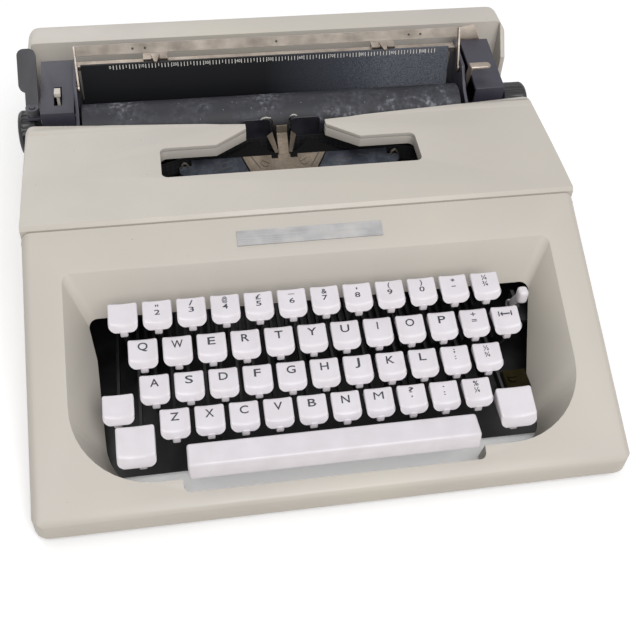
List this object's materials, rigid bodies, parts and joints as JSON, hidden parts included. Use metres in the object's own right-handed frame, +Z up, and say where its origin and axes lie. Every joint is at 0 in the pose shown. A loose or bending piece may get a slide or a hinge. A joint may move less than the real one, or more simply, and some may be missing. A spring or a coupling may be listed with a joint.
{
  "type": "portable typewriter",
  "caption": "Portable manual typewriter: sloping beige body, white sprung keys, hinged ribbon cover with a type slot, and a sliding carriage with platen, paper bail and return lever.",
  "frame": {"origin": "On the table under the middle of the machine's bounding box.", "axes": "+X is the typist's right, +Y points from the typist to the back of the machine, +Z is up. The machine stands on four rubber feet at z = 0."},
  "size_m": [0.3415, 0.34, 0.1217],
  "materials": {
    "beige_moulding": "warm light grey moulded plastic, lightly worn satin gloss",
    "white_plastic": "white moulded keys, satin",
    "black_frame": "pressed steel in satin black paint",
    "slate_metal": "dark blue-grey painted steel",
    "slate_plastic": "dark blue-grey moulded plastic, fine grain",
    "black_plastic": "black moulded plastic",
    "black_sheet": "black painted sheet steel, dusty",
    "bright_steel": "plain drawn steel",
    "tan_steel": "warm plated steel",
    "plate_metal": "thin metal plate, left plain",
    "platen_rubber": "hard black rubber, dusty",
    "foot_rubber": "soft black rubber",
    "ribbon_cloth": "inked woven ribbon"
  },
  "bodies": {
    "machine": {"body_shell": "beige_moulding", "rear_deck": "beige_moulding", "base_frame": "black_frame", "rubber_feet": "foot_rubber", "badge_plate": "plate_metal", "lever_rod": "bright_steel", "type_segment": "bright_steel", "type_bars": "bright_steel", "type_guide": "tan_steel", "ribbon": "ribbon_cloth", "carriage_rods": "bright_steel", "screws": "bright_steel"},
    "cover": {"ribbon_cover": "beige_moulding"},
    "carriage": {"carriage_frame": "slate_metal", "end_cover_left": "slate_plastic", "end_cover_right": "slate_plastic", "paper_table": "black_sheet"},
    "platen": {"platen": "platen_rubber", "platen_knobs": "black_plastic"},
    "bail": {"paper_bail": "bright_steel"},
    "return_lever": {"return_lever": "slate_metal"},
    "release_lever": {"release_lever": "tan_steel"},
    "spacing_selector": {"spacing_selector": "white_plastic"},
    "margin_stop_left": {"margin_stop_left": "tan_steel"},
    "margin_stop_right": {"margin_stop_right": "tan_steel"},
    "feed_rollers": {"feed_rollers": "platen_rubber"},
    "space_bar": {"space_bar": "white_plastic"},
    "shift_keys": {"shift_keys": "white_plastic"},
    "shift_lock": {"shift_lock": "white_plastic"},
    "colour_selector": {"colour_selector": "white_plastic"},
    "spring_drum": {"spring_drum": "bright_steel"},
    "spool_left": {"spool_left": "black_plastic"},
    "spool_right": {"spool_right": "black_plastic"},
    "figure_keys": {"figure_keys": "white_plastic"},
    "key_q": {"key_q": "white_plastic"},
    "key_w": {"key_w": "white_plastic"},
    "key_e": {"key_e": "white_plastic"},
    "key_r": {"key_r": "white_plastic"},
    "key_t": {"key_t": "white_plastic"},
    "key_y": {"key_y": "white_plastic"},
    "key_u": {"key_u": "white_plastic"},
    "key_i": {"key_i": "white_plastic"},
    "key_o": {"key_o": "white_plastic"},
    "key_p": {"key_p": "white_plastic"},
    "key_a": {"key_a": "white_plastic"},
    "key_s": {"key_s": "white_plastic"},
    "key_d": {"key_d": "white_plastic"},
    "key_f": {"key_f": "white_plastic"},
    "key_g": {"key_g": "white_plastic"},
    "key_h": {"key_h": "white_plastic"},
    "key_j": {"key_j": "white_plastic"},
    "key_k": {"key_k": "white_plastic"},
    "key_l": {"key_l": "white_plastic"},
    "key_z": {"key_z": "white_plastic"},
    "key_x": {"key_x": "white_plastic"},
    "key_c": {"key_c": "white_plastic"},
    "key_v": {"key_v": "white_plastic"},
    "key_b": {"key_b": "white_plastic"},
    "key_n": {"key_n": "white_plastic"},
    "key_m": {"key_m": "white_plastic"}
  },
  "joints": [
    {"name": "cover_hinge", "type": "hinge", "parent": "machine", "child": "cover", "pos_m": [0, 0.07, 0.086], "axis": [-1, 0, 0], "range_deg": [0, 65]},
    {"name": "carriage_slide", "type": "slide", "parent": "machine", "child": "carriage", "axis": [1, 0, 0], "range_m": [-0.105, 0.105]},
    {"name": "bail_swing", "type": "hinge", "parent": "carriage", "child": "bail", "pos_m": [0, 0.108, 0.096], "axis": [1, 0, 0], "range_deg": [0, 124]},
    {"name": "line_return", "type": "hinge", "parent": "carriage", "child": "return_lever", "pos_m": [-0.162, 0.088, 0.0948], "axis": [0, 0, 1], "range_deg": [0, 100]},
    {"name": "paper_release", "type": "hinge", "parent": "carriage", "child": "release_lever", "pos_m": [0.1266, 0.1, 0.084], "axis": [1, 0, 0], "range_deg": [0, 28]},
    {"name": "platen_turn", "type": "hinge", "parent": "carriage", "child": "platen", "pos_m": [0, 0.092, 0.075], "axis": [1, 0, 0], "continuous": true},
    {"name": "line_spacing", "type": "hinge", "parent": "carriage", "child": "spacing_selector", "pos_m": [-0.146, 0.098, 0.082], "axis": [1, 0, 0], "range_deg": [-12, 12]},
    {"name": "margin_left", "type": "slide", "parent": "carriage", "child": "margin_stop_left", "axis": [1, 0, 0], "range_m": [-0.04, 0.06]},
    {"name": "margin_right", "type": "slide", "parent": "carriage", "child": "margin_stop_right", "axis": [1, 0, 0], "range_m": [-0.06, 0.038]},
    {"name": "feed_turn", "type": "hinge", "parent": "carriage", "child": "feed_rollers", "pos_m": [0, 0.1097, 0.06407], "axis": [1, 0, 0], "continuous": true},
    {"name": "type_space", "type": "hinge", "parent": "machine", "child": "space_bar", "pos_m": [0, 0.052, 0.026], "axis": [1, 0, 0], "range_deg": [0, 1.6], "stiffness_Nm_per_rad": 1, "springref_deg": -6.88},
    {"name": "type_shift", "type": "hinge", "parent": "machine", "child": "shift_keys", "pos_m": [0, 0.052, 0.026], "axis": [1, 0, 0], "range_deg": [0, 2.5], "stiffness_Nm_per_rad": 3, "springref_deg": -8.59},
    {"name": "type_lock", "type": "hinge", "parent": "machine", "child": "shift_lock", "pos_m": [-0.11875, 0.052, 0.026], "axis": [1, 0, 0], "range_deg": [0, 2.5], "stiffness_Nm_per_rad": 0.6, "springref_deg": -8.59},
    {"name": "colour_select", "type": "hinge", "parent": "machine", "child": "colour_selector", "pos_m": [0.1192, -0.066, 0.041], "axis": [1, 0, 0], "range_deg": [-10, 10]},
    {"name": "drum_turn", "type": "hinge", "parent": "machine", "child": "spring_drum", "pos_m": [-0.095, 0.13, 0.03], "axis": [0, 0, 1], "range_deg": [-340, 340]},
    {"name": "spool_left_turn", "type": "hinge", "parent": "machine", "child": "spool_left", "pos_m": [-0.122, 0.022, 0.068], "axis": [0, 0, 1], "continuous": true},
    {"name": "spool_right_turn", "type": "hinge", "parent": "machine", "child": "spool_right", "pos_m": [0.122, 0.022, 0.068], "axis": [0, 0, 1], "continuous": true},
    {"name": "type_figures", "type": "hinge", "parent": "machine", "child": "figure_keys", "pos_m": [0, 0.052, 0.026], "axis": [1, 0, 0], "range_deg": [0, 3.6], "stiffness_Nm_per_rad": 3, "springref_deg": -8.59},
    {"name": "type_q", "type": "hinge", "parent": "machine", "child": "key_q", "pos_m": [-0.10212, 0.052, 0.026], "axis": [1, 0, 0], "range_deg": [0, 3.6], "stiffness_Nm_per_rad": 0.3, "springref_deg": -8.59},
    {"name": "type_w", "type": "hinge", "parent": "machine", "child": "key_w", "pos_m": [-0.08313, 0.052, 0.026], "axis": [1, 0, 0], "range_deg": [0, 3.6], "stiffness_Nm_per_rad": 0.3, "springref_deg": -8.59},
    {"name": "type_e", "type": "hinge", "parent": "machine", "child": "key_e", "pos_m": [-0.06413, 0.052, 0.026], "axis": [1, 0, 0], "range_deg": [0, 3.6], "stiffness_Nm_per_rad": 0.3, "springref_deg": -8.59},
    {"name": "type_r", "type": "hinge", "parent": "machine", "child": "key_r", "pos_m": [-0.04512, 0.052, 0.026], "axis": [1, 0, 0], "range_deg": [0, 3.6], "stiffness_Nm_per_rad": 0.3, "springref_deg": -8.59},
    {"name": "type_t", "type": "hinge", "parent": "machine", "child": "key_t", "pos_m": [-0.02612, 0.052, 0.026], "axis": [1, 0, 0], "range_deg": [0, 3.6], "stiffness_Nm_per_rad": 0.3, "springref_deg": -8.59},
    {"name": "type_y", "type": "hinge", "parent": "machine", "child": "key_y", "pos_m": [-0.00713, 0.052, 0.026], "axis": [1, 0, 0], "range_deg": [0, 3.6], "stiffness_Nm_per_rad": 0.3, "springref_deg": -8.59},
    {"name": "type_u", "type": "hinge", "parent": "machine", "child": "key_u", "pos_m": [0.01188, 0.052, 0.026], "axis": [1, 0, 0], "range_deg": [0, 3.6], "stiffness_Nm_per_rad": 0.3, "springref_deg": -8.59},
    {"name": "type_i", "type": "hinge", "parent": "machine", "child": "key_i", "pos_m": [0.03087, 0.052, 0.026], "axis": [1, 0, 0], "range_deg": [0, 3.6], "stiffness_Nm_per_rad": 0.3, "springref_deg": -8.59},
    {"name": "type_o", "type": "hinge", "parent": "machine", "child": "key_o", "pos_m": [0.04988, 0.052, 0.026], "axis": [1, 0, 0], "range_deg": [0, 3.6], "stiffness_Nm_per_rad": 0.3, "springref_deg": -8.59},
    {"name": "type_p", "type": "hinge", "parent": "machine", "child": "key_p", "pos_m": [0.06888, 0.052, 0.026], "axis": [1, 0, 0], "range_deg": [0, 3.6], "stiffness_Nm_per_rad": 0.3, "springref_deg": -8.59},
    {"name": "type_a", "type": "hinge", "parent": "machine", "child": "key_a", "pos_m": [-0.09738, 0.052, 0.026], "axis": [1, 0, 0], "range_deg": [0, 3.6], "stiffness_Nm_per_rad": 0.3, "springref_deg": -8.59},
    {"name": "type_s", "type": "hinge", "parent": "machine", "child": "key_s", "pos_m": [-0.07838, 0.052, 0.026], "axis": [1, 0, 0], "range_deg": [0, 3.6], "stiffness_Nm_per_rad": 0.3, "springref_deg": -8.59},
    {"name": "type_d", "type": "hinge", "parent": "machine", "child": "key_d", "pos_m": [-0.05937, 0.052, 0.026], "axis": [1, 0, 0], "range_deg": [0, 3.6], "stiffness_Nm_per_rad": 0.3, "springref_deg": -8.59},
    {"name": "type_f", "type": "hinge", "parent": "machine", "child": "key_f", "pos_m": [-0.04038, 0.052, 0.026], "axis": [1, 0, 0], "range_deg": [0, 3.6], "stiffness_Nm_per_rad": 0.3, "springref_deg": -8.59},
    {"name": "type_g", "type": "hinge", "parent": "machine", "child": "key_g", "pos_m": [-0.02138, 0.052, 0.026], "axis": [1, 0, 0], "range_deg": [0, 3.6], "stiffness_Nm_per_rad": 0.3, "springref_deg": -8.59},
    {"name": "type_h", "type": "hinge", "parent": "machine", "child": "key_h", "pos_m": [-0.00237, 0.052, 0.026], "axis": [1, 0, 0], "range_deg": [0, 3.6], "stiffness_Nm_per_rad": 0.3, "springref_deg": -8.59},
    {"name": "type_j", "type": "hinge", "parent": "machine", "child": "key_j", "pos_m": [0.01663, 0.052, 0.026], "axis": [1, 0, 0], "range_deg": [0, 3.6], "stiffness_Nm_per_rad": 0.3, "springref_deg": -8.59},
    {"name": "type_k", "type": "hinge", "parent": "machine", "child": "key_k", "pos_m": [0.03562, 0.052, 0.026], "axis": [1, 0, 0], "range_deg": [0, 3.6], "stiffness_Nm_per_rad": 0.3, "springref_deg": -8.59},
    {"name": "type_l", "type": "hinge", "parent": "machine", "child": "key_l", "pos_m": [0.05462, 0.052, 0.026], "axis": [1, 0, 0], "range_deg": [0, 3.6], "stiffness_Nm_per_rad": 0.3, "springref_deg": -8.59},
    {"name": "type_z", "type": "hinge", "parent": "machine", "child": "key_z", "pos_m": [-0.08787, 0.052, 0.026], "axis": [1, 0, 0], "range_deg": [0, 3.6], "stiffness_Nm_per_rad": 0.3, "springref_deg": -8.59},
    {"name": "type_x", "type": "hinge", "parent": "machine", "child": "key_x", "pos_m": [-0.06888, 0.052, 0.026], "axis": [1, 0, 0], "range_deg": [0, 3.6], "stiffness_Nm_per_rad": 0.3, "springref_deg": -8.59},
    {"name": "type_c", "type": "hinge", "parent": "machine", "child": "key_c", "pos_m": [-0.04988, 0.052, 0.026], "axis": [1, 0, 0], "range_deg": [0, 3.6], "stiffness_Nm_per_rad": 0.3, "springref_deg": -8.59},
    {"name": "type_v", "type": "hinge", "parent": "machine", "child": "key_v", "pos_m": [-0.03087, 0.052, 0.026], "axis": [1, 0, 0], "range_deg": [0, 3.6], "stiffness_Nm_per_rad": 0.3, "springref_deg": -8.59},
    {"name": "type_b", "type": "hinge", "parent": "machine", "child": "key_b", "pos_m": [-0.01188, 0.052, 0.026], "axis": [1, 0, 0], "range_deg": [0, 3.6], "stiffness_Nm_per_rad": 0.3, "springref_deg": -8.59},
    {"name": "type_n", "type": "hinge", "parent": "machine", "child": "key_n", "pos_m": [0.00713, 0.052, 0.026], "axis": [1, 0, 0], "range_deg": [0, 3.6], "stiffness_Nm_per_rad": 0.3, "springref_deg": -8.59},
    {"name": "type_m", "type": "hinge", "parent": "machine", "child": "key_m", "pos_m": [0.02612, 0.052, 0.026], "axis": [1, 0, 0], "range_deg": [0, 3.6], "stiffness_Nm_per_rad": 0.3, "springref_deg": -8.59}
  ],
  "couplings": [
    {"joint": "feed_turn", "follows": "platen_turn", "ratio": -3.5556},
    {"joint": "drum_turn", "follows": "carriage_slide", "rad_per_m": 55.556},
    {"joint": "spool_right_turn", "follows": "spool_left_turn", "ratio": 1}
  ]
}
